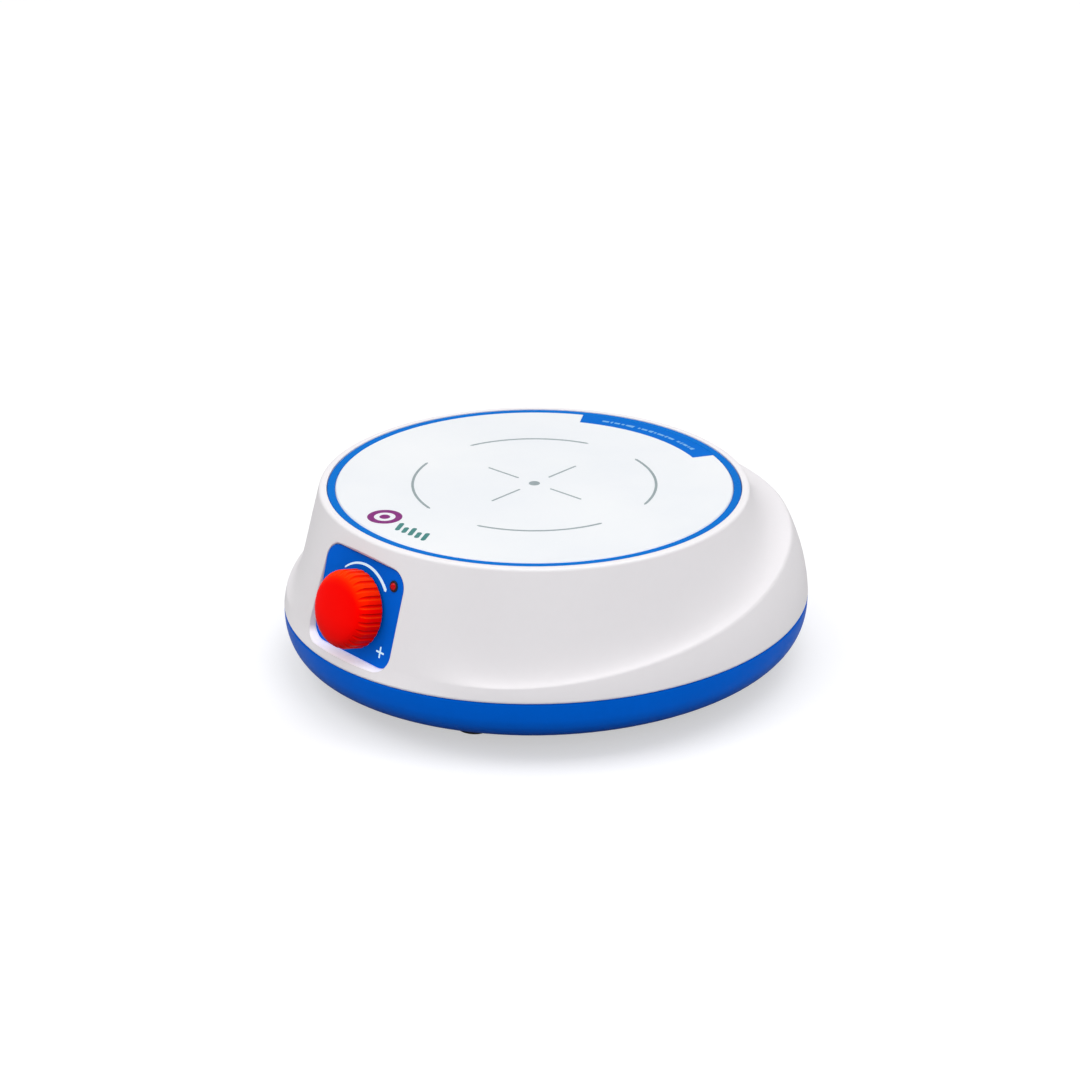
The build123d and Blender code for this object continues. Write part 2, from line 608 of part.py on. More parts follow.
# three-pole armature: core, and a coil round each neck
core = cyl(0, 0, CORE_Z0, CORE_Z1, 4.2)
coils = []
for angle in (0, 120, 240):
    neck = box(-1.5, 1.5, 3.0, 9.0, CORE_Z0, CORE_Z1)
    shoe = sector(8.6, 11.0, 134, 226, CORE_Z0, CORE_Z1)
    core += Rot(0, 0, angle) * (neck + shoe)
    coil = box(-4.2, 4.2, 4.6, 7.4, CORE_Z0 - 1.2, CORE_Z1 + 1.2)
    coil = fillet(coil.edges().filter_by(Axis.Y), 1.1)
    coils.append(Rot(0, 0, angle) * (coil - box(-1.5, 1.5, 4, 9, CORE_Z0, CORE_Z1)))
core -= cyl(0, 0, 15, 35, SHAFT_R)
save("motor_armature_core", core)
save("motor_windings", *coils)
commutator = tube(15.0, 18.2, 2.6, SHAFT_R)
for angle in (30, 150, 270):
    commutator -= Rot(0, 0, angle) * box(2.0, 4, -0.2, 0.2, 14, 17.4)
save("motor_commutator", commutator)
save("motor_brushes", *[
    box(side * 2.68, side * 6.0, -1.0, 1.0, 15.2, 17.2)
    + box(side * 5.5, side * 6.0, -1.0, 1.0, 14.2, 17.2) for side in SIDES])
save("motor_bushings", *[tube(z0, z1, 3.0, SHAFT_R + 0.03)
                         for z0, z1 in ((BRACKET_Z - 1.6, BRACKET_Z + 1.9), (11.0, 14.4))])
save("motor_shaft", turned([(0, 11.4), (0.8, 11.4), (SHAFT_R, 11.6), (SHAFT_R, SHAFT_TOP - 0.3),
                            (0.7, SHAFT_TOP), (0, SHAFT_TOP)]))
save("motor_screws", *[
    pan_screw(side * MOTOR_SCREW_X, 0, BRACKET_TOP, 2.6, radius=1.0, head_r=2.1, head_h=1.5)
    for side in SIDES])

# ------------------------------------------------------------ magnet carrier
MAGNET_Z0 = CARRIER_Z1 - MAGNET_H
carrier = slab(SlotOverall(55, 20), CARRIER_Z0, CARRIER_Z1)
carrier = chamfer(carrier.edges().group_by(Axis.Z)[-1], 0.6)
carrier += cyl(0, 0, 38.2, CARRIER_Z0 + 0.5, 5.0)
carrier -= cyl(0, 0, 30, SHAFT_TOP, SHAFT_R)
for side in SIDES:
    carrier -= cyl(side * MAGNET_X, 0, MAGNET_Z0, CARRIER_Z1 + 1, MAGNET_R)
carrier -= cyl(0, 0, CARRIER_Z1 - 2.0, CARRIER_Z1 + 1, 6.0)
save("magnet_carrier", carrier)
magnets = [cyl(side * MAGNET_X, 0, MAGNET_Z0, CARRIER_Z1, MAGNET_R) for side in SIDES]
save("drive_magnets", *[chamfer(magnet.edges().sort_by(Axis.Z)[-1:], 0.4) for magnet in magnets])
save("magnet_yoke",
     slab(SlotOverall(50, 15), CARRIER_Z0 - 1.5, CARRIER_Z0) - cyl(0, 0, 40, 45, 5.0))

# ------------------------------------------------------------- control board
board = box(-PCB_X, PCB_X, PCB_Y0, PCB_Y1, PCB_Z, PCB_TOP)
board = chamfer(board.edges().filter_by(Axis.Z), 1.0)
for x, y in PCB_HOLES:
    board -= cyl(x, y, PCB_Z - 1, PCB_Z + 3, 1.6)
save("control_pcb", board)
save("pcb_screws", *[pan_screw(x, y, PCB_TOP, 5.6, radius=1.25, head_r=2.3, head_h=1.6)
                     for x, y in PCB_HOLES])
save("pcb_capacitor", Pos(9, 54, PCB_TOP) * turned([
    (0, 0), (4.0, 0), (4.0, 1.2), (3.75, 1.5), (3.75, 2.0), (4.0, 2.3), (4.0, 11.3),
    (3.7, 11.6), (0, 11.6),
]))
chip = box(-10.5, -2.5, 48, 58.5, PCB_TOP + 0.3, PCB_TOP + 2.2)
chip = chamfer(chip.edges().group_by(Axis.Z)[-1], 0.3)
for i in range(4):
    for side in SIDES:
        x, y = -6.5 + side * 4.0, 49.2 + i * 2.6
        chip += box(x, x + side * 1.4, y, y + 0.6, PCB_TOP, PCB_TOP + 1.0)
save("pcb_driver_chip", chip)
blocks = []
for x, y, pins in PLUGS.values():
    half_w = pins * PIN_PITCH / 2 + 0.6
    block = box(x - half_w, x + half_w, y - 2.6, y + 2.6, PCB_TOP, PLUG_TOP)
    blocks.append(chamfer(block.edges().group_by(Axis.Z)[-1], 0.4))
save("pcb_connectors", *blocks)

# -------------------------------------------------------------- power socket
save("dc_jack_body", jack_turned([
    (2.85, -1.0), (5.2, -1.0), (5.6, -0.6), (5.6, 0.0), (4.0, 0.0), (4.0, 11.0), (1.6, 11.0),
    (1.6, 9.5), (2.85, 9.5),
]))
save("dc_jack_pin", jack_turned([
    (0, 0.3), (0.6, 0.3), (1.0, 0.8), (1.0, 9.5), (1.6, 9.5), (1.6, 12.5), (0.6, 12.5),
    (0.6, JACK_PIN_L), (0, JACK_PIN_L),
]))
jack_nut = RegularPolygon(5.5, 6, major_radius=False) - Circle(4.0)
save("dc_jack_nut", extrude(jack_plane(JACK_INNER_Y, FORWARD) * jack_nut, amount=2.2))


# --------------------------------------------------------------------- wires
def wire_run(plug, pin, direction, points):
    """Round wire leaving in a unit direction through the points, down into a plug's pin."""
    x, y, pins = PLUGS[plug]
    end = (x + (pin - (pins - 1) / 2) * PIN_PITCH, y, PLUG_TOP)
    path = Spline(*points, end, tangents=[direction, (0, 0, -1)], tangent_scalars=[1, 1])
    return sweep(Plane(origin=path @ 0, z_dir=path % 0) * Circle(WIRE_R), path)


save("motor_wires",
     wire_run("motor", 0, REARWARD, [
         (-TAG_X, 8.35, 10.2), (-9, 15, 9.9), (-11.4, 23.5, 12.5), (-12.6, 28.2, 21.0),
         (-13.2, 32.8, 23.2)]),
     wire_run("motor", 1, REARWARD, [
         (TAG_X, 8.35, 10.2), (5, 17, 9.9), (-6.0, 24.0, 12.5), (-10.2, 28.2, 21.0),
         (-10.7, 32.8, 23.2)]))

runs = []
for i, u in enumerate(LUG_US):
    shift = 1.7 * (i - 1)
    x, y, z = panel_point(u, LUG_END_V - WIRE_GAP, LUG_W)
    runs.append(wire_run("pot", i, (0, -sin(TILT), -cos(TILT)), [
        (x, y, z), (x + 1.0, y + 1.5, z - 5.0), (15 + shift, -46 - shift, 12.5),
        (39 + shift, -27, 10.8), (43 + shift, 0, 10.5), (34 + shift, 23 + shift, 15.0),
        (14 + shift * 1.3, 26.0 + shift * 0.3, 22.0), (PIN_PITCH * (i - 1) + 1.4, 32.6, 23.8)]))
save("potentiometer_wires", *runs)

runs = []
for i, side in enumerate(SIDES):
    shift = side * 0.9
    x, y, z = panel_point(LED_U + side * LEAD_U, LED_V, LEAD_END - WIRE_GAP)
    runs.append(wire_run("led", i, (0, cos(TILT), -sin(TILT)), [
        (x, y, z), (x + 0.4, y + 4.0, z - 3.0), (20 + shift, -42 - shift, 29.0),
        (41 + shift, -28, 17.0), (51 + shift, 0, 11.5), (42 + shift, 26 + shift, 17.0),
        (24 + side, 29.2 + side * 0.3, 25.0), (13.0 + side * PIN_PITCH / 2, 32.6, 24.4)]))
save("led_wires", *runs)

save("dc_wires",
     wire_run("dc", 0, FORWARD, [
         (-2.8, 72.9, JACK_Z), (-4.5, 69.0, JACK_Z + 0.3), (-13.0, 60, 28.5),
         (-16.4, 52.5, 23.5)]),
     wire_run("dc", 1, FORWARD, [
         (0.0, JACK_Y - JACK_PIN_L - WIRE_GAP, JACK_Z), (-1.5, 66.0, JACK_Z - 0.6),
         (-8.5, 59, 25.0), (-13.6, 52.8, 22.2)]))
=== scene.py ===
"""A laboratory stirrer: a round white plate on a housing, with a blue panel and a red knob.

Metres, +Z up. The plate's axis is the Z axis, the floor lies just under z = 0, and the
pocket that holds the panel is at the front, toward -Y. The CAD pieces are loaded and
given materials; this script adds the thin printed marks, the floor, lights and camera.
"""
import bpy
import bmesh
import json
import math
from math import sin, cos, radians, pi
from mathutils import Vector, Matrix


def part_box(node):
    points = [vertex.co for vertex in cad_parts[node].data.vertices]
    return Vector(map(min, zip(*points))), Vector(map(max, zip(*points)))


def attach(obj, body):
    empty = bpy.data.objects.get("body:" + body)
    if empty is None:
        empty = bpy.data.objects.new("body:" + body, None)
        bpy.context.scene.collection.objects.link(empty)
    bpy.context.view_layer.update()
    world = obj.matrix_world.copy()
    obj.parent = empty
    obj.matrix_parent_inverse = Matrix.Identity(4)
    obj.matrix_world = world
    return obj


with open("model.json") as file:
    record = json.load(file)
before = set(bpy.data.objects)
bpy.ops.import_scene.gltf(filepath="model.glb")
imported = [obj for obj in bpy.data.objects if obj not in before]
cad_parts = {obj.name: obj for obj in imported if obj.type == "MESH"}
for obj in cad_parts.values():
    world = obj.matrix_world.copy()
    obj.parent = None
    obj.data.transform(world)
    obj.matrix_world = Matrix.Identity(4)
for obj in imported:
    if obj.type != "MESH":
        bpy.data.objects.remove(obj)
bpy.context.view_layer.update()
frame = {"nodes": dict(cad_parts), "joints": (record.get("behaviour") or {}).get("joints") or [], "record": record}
SCENE = bpy.context.scene
MM = 0.001


# -------------------------------------------------------------- material helpers
def rgb(*channels):
    """Linear RGBA from 0-255 sRGB channels."""
    def linear(c):
        return c / 12.92 if c <= 0.04045 else ((c + 0.055) / 1.055) ** 2.4
    return tuple(linear(c / 255) for c in channels) + (1.0,)


def shade(colour, gain):
    return tuple(min(c * gain, 1) for c in colour[:3]) + (1,)


class Graph:
    """A material's node tree, with short calls for the nodes used below."""

    def __init__(self, name):
        self.mat = bpy.data.materials.new(name)
        self.mat.use_nodes = True
        self.tree = self.mat.node_tree
        self.tree.nodes.clear()
        output = self.node("OutputMaterial")
        self.bsdf = self.node("BsdfPrincipled")
        self.fill(output, {0: self.bsdf.outputs[0]})
        self.coords = self.node("TexCoord").outputs["Object"]

    def node(self, kind, inputs=None, **settings):
        node = self.tree.nodes.new("ShaderNode" + kind)
        for key, value in settings.items():
            setattr(node, key, value)
        self.fill(node, inputs or {})
        return node

    def fill(self, node, inputs):
        """Link each input that is given a socket, and set the others."""
        for key, value in inputs.items():
            if hasattr(value, "is_output"):
                self.tree.links.new(value, node.inputs[key])
            else:
                node.inputs[key].default_value = value

    def surface(self, colour, rough, normal, extra=None):
        inputs = {"Base Color": colour, "Roughness": rough, "Normal": normal}
        self.fill(self.bsdf, {**inputs, **(extra or {})})
        return self.mat

    def calc(self, operation, first, second=0.0, clamp=False):
        node = self.node("Math", {0: first, 1: second}, operation=operation, use_clamp=clamp)
        return node.outputs[0]

    def times(self, product, *factors):
        for factor in factors:
            product = self.calc("MULTIPLY", product, factor)
        return product

    def weighted(self, first, share, second):
        """A sum in which `first` counts for `share` and `second` for the rest."""
        return self.calc("ADD", self.times(first, share), self.times(second, 1 - share))

    def noise(self, scale, detail=3.0, rough=0.5, coords=None, distort=0.0):
        return self.node("TexNoise", {
            "Scale": scale, "Detail": detail, "Roughness": rough, "Distortion": distort,
            "Vector": coords or self.coords}).outputs["Fac"]

    def voronoi(self, scale, feature="F1"):
        inputs = {"Scale": scale, "Vector": self.coords}
        return self.node("TexVoronoi", inputs, feature=feature).outputs["Distance"]

    def stretch(self, scale):
        return self.node("Mapping", {"Scale": scale, "Vector": self.coords}).outputs[0]

    def remap(self, value, span=(0.3, 0.7), to=(0.0, 1.0)):
        return self.node("MapRange", {
            "Value": value, "From Min": span[0], "From Max": span[1],
            "To Min": to[0], "To Max": to[1]}).outputs[0]

    def mix(self, share, base, other):
        return self.node("Mix", {0: share, 6: base, 7: other}, data_type="RGBA").outputs[2]

    def fade(self, base, other, by, span=(0.3, 0.7), to=(0.0, 1.0)):
        """From base toward other, as `by` crosses the span."""
        return self.mix(self.remap(by, span, to), base, other)

    def bevel(self, radius):
        return self.node("Bevel", {"Radius": radius}, samples=6).outputs[0]

    def bump(self, height, strength, distance, round_r=None):
        """Surface relief, over edges rounded to round_r if it is given."""
        inputs = {"Strength": strength, "Distance": distance, "Height": height}
        if round_r is not None:
            inputs["Normal"] = self.bevel(round_r)
        return self.node("Bump", inputs).outputs[0]

    def grain(self, fine, cells):
        """Height of a spark-eroded mould surface; fine and cells are texture scales."""
        return self.weighted(self.noise(scale=fine, rough=0.6), 0.6, self.voronoi(cells))

    def geometry(self):
        return self.node("NewGeometry").outputs

    def xyz(self, vector):
        return self.node("SeparateXYZ", {0: vector}).outputs

    def camera_ray(self):
        return self.node("LightPath").outputs["Is Camera Ray"]

    def edge(self, radius):
        """1 near an edge, 0 on a face: how far a rounded normal leaves the true one."""
        inputs = {0: self.bevel(radius), 1: self.geometry()["Normal"]}
        dot = self.node("VectorMath", inputs, operation="DOT_PRODUCT").outputs["Value"]
        return self.remap(self.calc("SUBTRACT", 1.0, dot), span=(0.02, 0.35))


# -------------------------------------------------------------- general materials
def lip_glow_mask(g, facing_up, position):
    """Mask of the upward-facing lip of the panel pocket at the front, where painted light makes the lip glow."""
    at = g.xyz(position)
    return g.times(
        g.remap(facing_up, span=(0.42, 0.72)),
        g.remap(at["Y"], span=(-0.0625, -0.0645)),
        g.remap(at["Z"], span=(0.031, 0.028)),
        g.remap(g.calc("ABSOLUTE", at["X"]), span=(0.022, 0.019)))


def plastic(name, col, rough=0.42, var=0.04, grain=2600, bump=0.10, depth=0.00004,
            spec=0.5, wear=0.25, round_r=0.00035, sss=0.0, lift=1.25, tint=None,
            under=None, lip=False):
    """Moulded plastic: faint colour drift, eroded grain, smudged gloss, lighter worn edges.

    var: colour drift; lift: gain of worn edges; tint: of the highlights;
    under: colour of downward faces, a painted shade; lip: painted light, a glow on the panel pocket's lip.
    """
    g = Graph(name)
    drift = g.weighted(g.noise(scale=35, detail=4, rough=0.55), 0.7,
                       g.noise(scale=420, rough=0.6))
    c = g.fade(shade(col, 1 - var), shade(col, 1 + var), drift)
    if wear > 0:
        scuff = g.remap(g.noise(scale=900, detail=4, rough=0.7), span=(0.45, 0.7),
                        to=(0.15, 1.0))
        c = g.mix(g.times(g.edge(round_r * 1.6), scuff, wear), c, shade(col, lift))
    extra = {"Specular IOR Level": spec}
    if under or lip:
        geometry = g.geometry()
        facing_up = g.xyz(geometry["Normal"])["Z"]
    # painted shade: faces turned down darken toward the under colour
    if under:
        c = g.fade(c, under, facing_up, span=(-0.25, -0.8))
    # painted light: the panel pocket's lip glows in the housing's own colour, to brighten it where the knob shades
    # it
    if lip:
        glow = 0.42
        extra["Emission Color"] = c
        extra["Emission Strength"] = g.times(
            lip_glow_mask(g, facing_up, geometry["Position"]), glow)
    if tint:
        extra["Specular Tint"] = tint
    if sss:
        extra.update({"Subsurface Weight": sss, "Subsurface Scale": 1.0,
                      "Subsurface Radius": (0.002, 0.002, 0.002)})
    smudge = g.remap(g.noise(scale=28, detail=5, rough=0.62, distort=0.6), span=(0.35, 0.7),
                     to=(rough - 0.05, rough + 0.05))
    # fine gloss variation, centred on zero
    speckle = g.calc("SUBTRACT", g.noise(scale=1500, detail=2), 0.5)
    return g.surface(
        c, g.calc("ADD", smudge, g.times(speckle, 0.06), clamp=True),
        g.bump(g.grain(fine=grain, cells=grain * 0.8), bump, depth, round_r), extra)


def metal(name, col, rough, brush, var=0.08, bump=0.05, metallic=1.0):
    """Brushed metal; brush stretches the streaks, a small value making them long."""
    g = Graph(name)
    streak = g.noise(scale=220, detail=5, rough=0.65, coords=g.stretch(brush))
    c = g.fade(shade(col, 1 - var), shade(col, 1 + var), streak)
    c = g.fade(c, shade(col, 0.75), g.noise(scale=60, detail=4, rough=0.6),
               span=(0.45, 0.75), to=(0, 0.25))
    return g.surface(
        c, g.remap(streak, span=(0.2, 0.8), to=(rough - 0.07, rough + 0.1)),
        g.bump(streak, bump, distance=0.00003, round_r=0.0002), {"Metallic": metallic})


def ink(name, col, bare=0.12, glow=0.0):
    """Screen-printed ink with a soft sheen; bare is how far the pale ground shows through, and glow is painted
    light that makes the ink glow.
    """
    g = Graph(name)
    c = g.fade(col, rgb(240, 244, 248), g.noise(scale=700, detail=5, rough=0.7),
               span=(0.4, 0.75), to=(0.0, bare))
    c = g.fade(c, shade(col, 0.7), g.noise(scale=160, detail=4, rough=0.6), to=(0.0, 0.12))
    # painted light: with glow, the ink glows in its own colour
    extra = {"Emission Color": c, "Emission Strength": glow} if glow else {}
    return g.surface(
        c, g.remap(g.noise(scale=500, detail=4, rough=0.6), to=(0.34, 0.48)),
        g.bump(g.noise(scale=2200, rough=0.6), strength=0.15, distance=0.00002), extra)


# ------------------------------------------------------- materials of single pieces
def white_plate(name):
    """Glossy white working plate: glaze-like top, faint wipe marks, a slight cool tint."""
    g = Graph(name)
    c = g.fade(shade(rgb(243, 246, 250), 0.985), rgb(247, 249, 251),
               g.noise(scale=22, detail=5, rough=0.55), span=(0.35, 0.7))
    edge_share = 0.35
    c = g.mix(g.times(g.edge(radius=0.0005), edge_share), c, rgb(222, 232, 244))
    wipe = g.noise(scale=26, coords=g.stretch(scale=(0.6, 1.3, 1.0)), distort=0.4)
    return g.surface(
        c, g.remap(wipe, span=(0.35, 0.7), to=(0.29, 0.33)),
        g.bump(g.noise(scale=70, detail=2, rough=0.4), strength=0.05, distance=0.00004),
        {"Specular IOR Level": 0.45, "Coat Weight": 0.1, "Coat Roughness": 0.2})


def red_knob(name):
    """Orange-red moulded knob, with painted light: a painted highlight warms its top, painted shade darkens it
    below and in the flutes, and it glows a little toward the camera.
    """
    g = Graph(name)
    # the second colour is a painted highlight, the third a painted shade
    base, painted_highlight_orange, painted_shade_red = rgb(252, 2, 0), rgb(252, 66, 0), rgb(172, 0, 2)
    geometry = g.geometry()
    facing_up = g.xyz(geometry["Normal"])["Z"]
    height = g.xyz(geometry["Position"])["Z"]
    c = g.fade(base, shade(base, 0.82), g.noise(scale=90, detail=4, rough=0.6),
               span=(0.35, 0.7), to=(0, 0.14))
    # painted highlight: faces turned up warm toward orange
    c = g.fade(c, painted_highlight_orange, facing_up, span=(0.35, 0.95), to=(0.0, 0.68))
    # painted shade: faces turned down, and the lower part of the knob, darken toward deep red
    c = g.fade(c, painted_shade_red, facing_up, span=(0.22, -0.75), to=(0.0, 0.85))
    c = g.fade(c, painted_shade_red, height, span=(0.036, 0.026), to=(0.0, 0.45))
    # painted shade in the flutes, from ambient occlusion
    openness = g.node("AmbientOcclusion", {"Distance": 0.0012}, samples=6).outputs["AO"]
    c = g.fade(c, painted_shade_red, openness, span=(0.45, 1.0), to=(0.35, 0.0))
    # scuffed edges lightened toward orange: partly wear, partly a painted edge highlight
    scuff = g.remap(g.noise(scale=1200, rough=0.6), span=(0.4, 0.7), to=(0.2, 0.8))
    wear = 0.35
    c = g.mix(g.times(g.edge(radius=0.0005), scuff, wear), c, rgb(255, 96, 40))
    # painted light: a faint glow on all but the downward faces, seen by the camera only
    glow = g.remap(facing_up, span=(-0.9, 0.2), to=(0.0, 0.17))
    return g.surface(
        c, g.remap(g.noise(scale=70, detail=5, rough=0.6, distort=0.5), span=(0.35, 0.7),
                   to=(0.34, 0.46)),
        g.bump(g.grain(fine=3200, cells=2400), strength=0.12, distance=0.00004,
               round_r=0.0004),
        {"Specular IOR Level": 0.05, "Specular Tint": (1.0, 0.22, 0.04, 1.0),
         "Emission Color": c, "Emission Strength": g.times(glow, g.camera_ray())})


def black_rubber(name):
    """Matt rubber with a little grey dust."""
    g = Graph(name)
    col = rgb(30, 30, 32)
    c = g.fade(shade(col, 0.7), shade(col, 1.4), g.noise(scale=300, detail=5, rough=0.7),
               span=(0.35, 0.7))
    c = g.fade(c, rgb(96, 94, 92), g.noise(scale=120, detail=6, rough=0.7, distort=0.6),
               span=(0.55, 0.75), to=(0.0, 0.35))
    return g.surface(
        c, g.remap(g.noise(scale=400, detail=4, rough=0.6), to=(0.72, 0.92)),
        g.bump(g.noise(scale=2600, detail=4, rough=0.7), strength=0.3, distance=0.00008,
               round_r=0.0003),
        {"Specular IOR Level": 0.25})


def red_lens(name):
    """Glossy red lens, with painted shade darkening it where it turns away from the eye."""
    g = Graph(name)
    col = rgb(206, 0, 14)
    c = g.fade(shade(col, 0.85), shade(col, 1.1), g.noise(scale=900))
    # painted shade: darker toward the rim, where the lens turns away from the eye
    facing = g.node("LayerWeight", {"Blend": 0.35}).outputs["Facing"]
    c = g.fade(c, rgb(120, 0, 8), facing, span=(0.3, 1.0), to=(0.0, 0.7))
    return g.surface(
        c, g.remap(g.noise(scale=300, rough=0.6), to=(0.08, 0.16)),
        g.bump(g.noise(scale=1500, detail=2), strength=0.05, distance=0.00003),
        {"Specular IOR Level": 0.2, "Coat Weight": 0.15,
         "Emission Color": c, "Emission Strength": 0.1})


def pcb_green(name):
    """Green solder mask over copper tracks, drawn along the borders of Voronoi cells."""
    g = Graph(name)
    tracks = g.remap(g.voronoi(scale=340, feature="DISTANCE_TO_EDGE"), span=(0.06, 0.10),
                     to=(1.0, 0.0))
    c = g.mix(tracks, rgb(8, 84, 42), rgb(24, 124, 66))
    c = g.fade(c, rgb(4, 60, 30), g.noise(scale=80, detail=4, rough=0.6), span=(0.4, 0.7),
               to=(0, 0.3))
    return g.surface(c, g.remap(tracks, span=(0, 1), to=(0.28, 0.4)),
                     g.bump(tracks, strength=0.4, distance=0.00004, round_r=0.00015))


# ------------------------------------------------------------- the material library
SHEEN = (0.02, 0.42, 1.0, 1.0)      # highlight tint of the blue plastics
WIRE = dict(rough=0.42, grain=1800, wear=0)
PLASTICS = {
    # lip=True paints light on the white housing: a glow on the panel pocket's lip
    "white_housing": dict(col=rgb(243, 240, 243), var=0.012, grain=3000, depth=0.00003,
                          spec=0.3, wear=0.35, round_r=0.0004, sss=0.04, lift=1.06, lip=True),
    # the blue base's under colour is painted shade on its downward faces
    "blue_base": dict(col=rgb(0, 98, 214), rough=0.36, var=0.05, bump=0.08, depth=0.00003,
                      spec=0.04, wear=0.2, round_r=0.0005, lift=1.7, tint=SHEEN,
                      under=rgb(0, 62, 150)),
    "blue_panel": dict(col=rgb(0, 104, 226), var=0.045, grain=3400, bump=0.16, depth=0.00003,
                       spec=0.04, wear=0.4, round_r=0.0003, lift=2.0, tint=SHEEN),
    "blue_trim": dict(col=rgb(0, 112, 206), rough=0.26, var=0.05, bump=0.04, depth=0.00002,
                      spec=0.05, wear=0.3, round_r=0.00025, lift=1.7,
                      tint=(0.02, 0.55, 1.0, 1.0)),
    "blue_label": dict(col=rgb(0, 108, 208), rough=0.34, var=0.05, grain=3600, bump=0.08,
                       depth=0.00002, spec=0.04, wear=0.2, round_r=0.0001, tint=SHEEN),
    "black_plastic": dict(col=rgb(26, 26, 28), rough=0.45, var=0.12, grain=2400, bump=0.16,
                          wear=0.4, round_r=0.0002, lift=2.2),
    "nylon": dict(col=rgb(228, 226, 216), rough=0.48, var=0.03, grain=2200, sss=0.15,
                  wear=0.2, round_r=0.0002, lift=1.08),
    "adhesive": dict(col=rgb(176, 176, 172), rough=0.7, var=0.08, grain=1500, bump=0.4,
                     depth=0.0001, spec=0.2, wear=0),
    "wire_red": {**WIRE, "col": rgb(176, 26, 20), "var": 0.08, "rough": 0.4},
    "wire_grey": {**WIRE, "col": rgb(120, 122, 124), "var": 0.08},
    "wire_black": {**WIRE, "col": rgb(24, 24, 24), "var": 0.1},
}
METALS = {
    "steel": dict(col=rgb(206, 207, 210), rough=0.3, brush=(1, 1, 8)),
    "motor_steel": dict(col=rgb(196, 198, 202), rough=0.32, brush=(1, 1, 0.05), bump=0.08),
    "shaft_steel": dict(col=rgb(214, 214, 216), rough=0.2, brush=(1, 1, 30), bump=0.03),
    "brass": dict(col=rgb(214, 180, 104), rough=0.26, brush=(1, 1, 30)),
    "copper": dict(col=rgb(206, 116, 70), rough=0.3, brush=(1, 1, 30), bump=0.2),
    "lamination": dict(col=rgb(120, 120, 124), rough=0.42, brush=(0.02, 0.02, 12), bump=0.5),
    "ferrite": dict(col=rgb(62, 62, 66), rough=0.6, brush=(1, 1, 1), var=0.2, bump=0.2,
                    metallic=0.2),
    "neodymium": dict(col=rgb(220, 220, 224), rough=0.16, brush=(1, 1, 6), bump=0.02),
    "carbon": dict(col=rgb(48, 48, 50), rough=0.65, brush=(1, 1, 1), var=0.25, bump=0.3,
                   metallic=0.1),
    "tin": dict(col=rgb(214, 215, 216), rough=0.25, brush=(1, 1, 6)),
}
MATS = {name: plastic(name, **look) for name, look in PLASTICS.items()}
for build in (white_plate, red_knob, black_rubber, red_lens, pcb_green):
    MATS[build.__name__] = build(build.__name__)
MATS.update({name: metal(name, **look) for name, look in METALS.items()})

slot_of = {part["node"]: part["material_slot"] for part in frame["record"]["subparts"]}
for name, ob in frame["nodes"].items():
    ob.data.materials.clear()
    ob.data.materials.append(MATS[slot_of[name]])

INK_GREY = ink("ink_grey", rgb(150, 164, 168))
# painted light: the white ink glows a little
INK_WHITE = ink("ink_white", rgb(208, 242, 255), bare=0.03, glow=0.34)
INK_PURPLE = ink("ink_purple", rgb(136, 22, 124), bare=0.06)
INK_TEAL = ink("ink_teal", rgb(58, 134, 130), bare=0.08)
INK_PALE = ink("ink_pale", rgb(112, 178, 236), bare=0.04)

# -------------------------------------------------------------------- print shapes
# A shape is (verts, faces). A plane is (origin, across, along, normal). Prints start
# a little below their plane and stand a little above it.
INK_BOTTOM = -0.00002
INK_TOP = 0.00005


def on_plane(plane, x, y, height):
    origin, across, along, normal = plane
    return origin + across * x + along * y + normal * height


def join(shapes):
    verts, faces = [], []
    for shape_verts, shape_faces in shapes:
        start = len(verts)
        verts += shape_verts
        faces += [tuple(i + start for i in face) for face in shape_faces]
    return verts, faces


def make_print(name, shapes, mat):
    """One object from several shapes, riding on the housing."""
    verts, faces = join(shapes)
    me = bpy.data.meshes.new(name)
    me.from_pydata([tuple(v) for v in verts], [], faces)
    me.update()
    bm = bmesh.new()
    bm.from_mesh(me)
    bmesh.ops.remove_doubles(bm, verts=bm.verts, dist=1e-7)
    bmesh.ops.recalc_face_normals(bm, faces=bm.faces)
    bm.to_mesh(me)
    bm.free()
    ob = bpy.data.objects.new(name, me)
    SCENE.collection.objects.link(ob)
    me.materials.append(mat)
    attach(ob, "housing")


def ribbon(left, right, plane, top=INK_TOP):
    """A flat strip between two lists of plane points; its end caps are the last two faces."""
    verts = []
    for a, b in zip(left, right):
        verts += [on_plane(plane, *a, INK_BOTTOM), on_plane(plane, *b, INK_BOTTOM),
                  on_plane(plane, *b, top), on_plane(plane, *a, top)]
    end = 4 * (len(left) - 1)
    faces = [(i + k, i + (k + 1) % 4, i + 4 + (k + 1) % 4, i + 4 + k)
             for i in range(0, end, 4) for k in range(4)]
    return verts, faces + [(0, 3, 2, 1), (end, end + 1, end + 2, end + 3)]


def arc_strip(radius, start, end, start_w, end_w, plane, steps=48, round_ends=True):
    """Strip on an arc about the origin; degrees from `along` toward `across`."""
    left, right = [], []
    length = abs(end - start) * pi / 180 * radius
    for i in range(steps + 1):
        t = i / steps
        angle = radians(start + (end - start) * t)
        half = (start_w + (end_w - start_w) * t) / 2
        to_end = min(t, 1 - t) * length
        if round_ends and to_end < half:
            half = max(half * 0.12, math.sqrt(max(half * half - (half - to_end) ** 2, 0)))
        for side, r in ((left, radius + half), (right, radius - half)):
            side.append((r * sin(angle), r * cos(angle)))
    return ribbon(left, right, plane)


